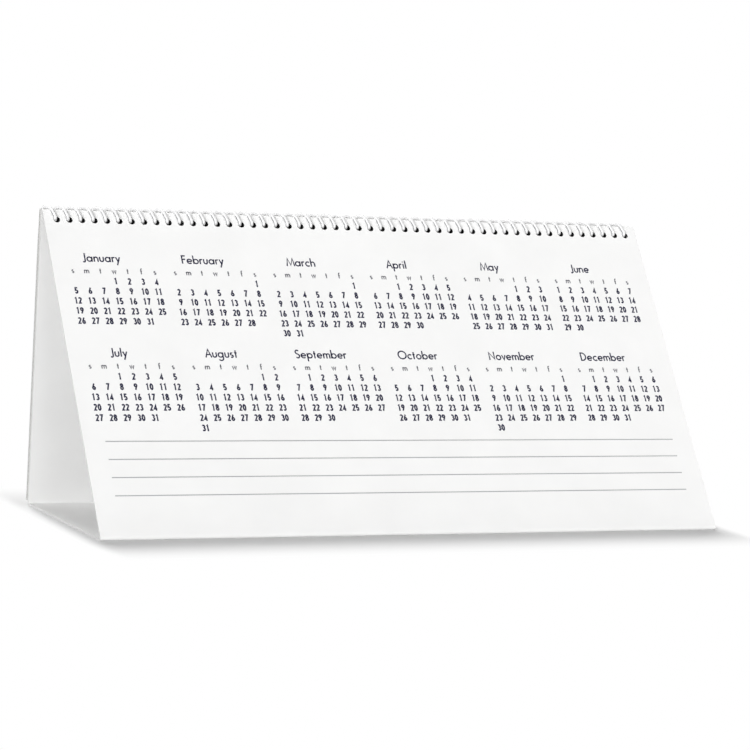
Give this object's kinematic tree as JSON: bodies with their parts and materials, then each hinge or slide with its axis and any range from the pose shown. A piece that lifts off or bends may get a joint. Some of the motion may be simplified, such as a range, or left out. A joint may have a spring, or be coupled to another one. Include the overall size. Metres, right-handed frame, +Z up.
{
  "type": "desk tent calendar",
  "caption": "Folded card easel that stands as a tent, with a calendar printed on its sloping front, a pad of pages hanging behind it and a spiral coil binding along the top.",
  "frame": {"origin": "on the ground, under the middle of the whole calendar", "axes": "+Z up, +X to the reader's right along the width, -Y towards the reader who faces the printed front"},
  "size_m": [0.216, 0.0726, 0.0968],
  "materials": {
    "card": "smooth white card",
    "pages": "uncoated",
    "coil": "gloss"
  },
  "bodies": {
    "root": {"easel": "card", "page_pad": "pages", "spiral_coil": "coil"}
  },
  "joints": []
}
